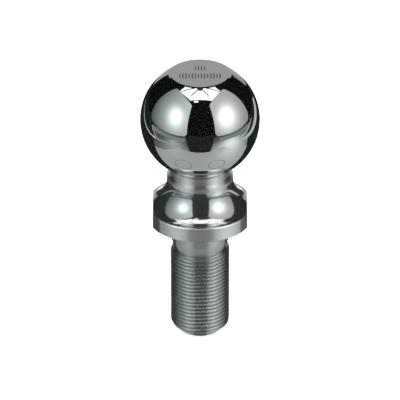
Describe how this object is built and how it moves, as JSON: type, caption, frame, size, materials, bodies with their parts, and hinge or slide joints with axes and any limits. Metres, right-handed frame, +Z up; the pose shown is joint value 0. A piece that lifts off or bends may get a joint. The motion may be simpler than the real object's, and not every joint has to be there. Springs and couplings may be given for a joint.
{
  "type": "trailer hitch ball",
  "caption": "Chrome tow ball with a flat top on a waisted neck, a round flange with wrench flats and a threaded shank.",
  "frame": {"origin": "centre of the shank's end face, at the bottom of the part", "axes": "+Z runs up the axis from the shank's end to the ball; the two wrench flats face +X and -X"},
  "size_m": [0.0508, 0.0508, 0.1245],
  "materials": {
    "mirror_chrome": "mirror polished chrome plate",
    "turned_chrome": "chrome plate over fine turned steel, satin"
  },
  "bodies": {
    "root": {"ball": "mirror_chrome", "stem": "turned_chrome"}
  },
  "joints": []
}
